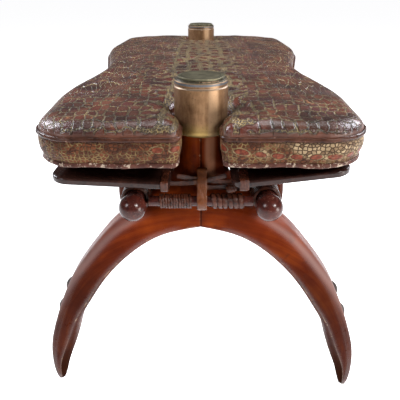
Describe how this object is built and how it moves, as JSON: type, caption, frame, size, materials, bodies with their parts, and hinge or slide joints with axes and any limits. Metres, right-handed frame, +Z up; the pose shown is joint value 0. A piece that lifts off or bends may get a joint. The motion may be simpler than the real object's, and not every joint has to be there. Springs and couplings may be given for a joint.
{
  "type": "camel saddle stool",
  "caption": "Low stool on arched wooden yokes with brass-capped posts, wooden rails bound with leather thong and a loose cushion of scale-embossed leather.",
  "frame": {"origin": "on the floor, midway between the two posts", "axes": "+Z up, Y along the stool from the front post (-Y) to the rear post (+Y), X across"},
  "size_m": [0.4072, 0.7002, 0.4194],
  "materials": {
    "yoke_wood": "oiled and polished, worn at the edges",
    "rail_wood": "dark stain, glossy, scratched",
    "board_wood": "dark stain, glossy edges",
    "cap_brass": "aged brown patina with worn bright rim",
    "plate_brass": "green grey patina",
    "iron": "blackened",
    "thong_leather": "dark waxed leather, glossy",
    "cushion_leather": "embossed scales, worn",
    "piping_leather": "dark, glossy",
    "filling": "packed stuffing"
  },
  "bodies": {
    "frame": {"board_cleats_left": "board_wood", "board_cleats_right": "board_wood", "board_left": "board_wood", "board_nails_left": "iron", "board_nails_right": "iron", "board_right": "board_wood", "front_board_tie_left": "thong_leather", "front_board_tie_right": "thong_leather", "front_cap_plate": "plate_brass", "front_cap_shell": "cap_brass", "front_centre_strap": "thong_leather", "front_crossbar": "rail_wood", "front_crossbar_broad_binding": "thong_leather", "front_crossbar_fine_binding": "thong_leather", "front_leg_studs": "iron", "front_post_strands": "thong_leather", "front_rail_binding_left": "thong_leather", "front_rail_binding_right": "thong_leather", "front_strand_knot": "thong_leather", "front_yoke_left": "yoke_wood", "front_yoke_pegs": "rail_wood", "front_yoke_right": "yoke_wood", "rail_left": "rail_wood", "rail_right": "rail_wood", "rear_board_tie_left": "thong_leather", "rear_board_tie_right": "thong_leather", "rear_cap_plate": "plate_brass", "rear_cap_shell": "cap_brass", "rear_centre_strap": "thong_leather", "rear_crossbar": "rail_wood", "rear_crossbar_broad_binding": "thong_leather", "rear_crossbar_fine_binding": "thong_leather", "rear_leg_studs": "iron", "rear_post_strands": "thong_leather", "rear_rail_binding_left": "thong_leather", "rear_rail_binding_right": "thong_leather", "rear_strand_knot": "thong_leather", "rear_yoke_left": "yoke_wood", "rear_yoke_pegs": "rail_wood", "rear_yoke_right": "yoke_wood"},
    "cushion": {"cushion_base": "cushion_leather", "cushion_boxing": "cushion_leather", "cushion_filling": "filling", "cushion_piping": "piping_leather", "cushion_top": "cushion_leather", "cushion_welt": "piping_leather"}
  },
  "joints": [
    {"name": "cushion_lift", "type": "slide", "parent": "frame", "child": "cushion", "axis": [0, 0, 1], "range_m": [0, 0.12]}
  ]
}
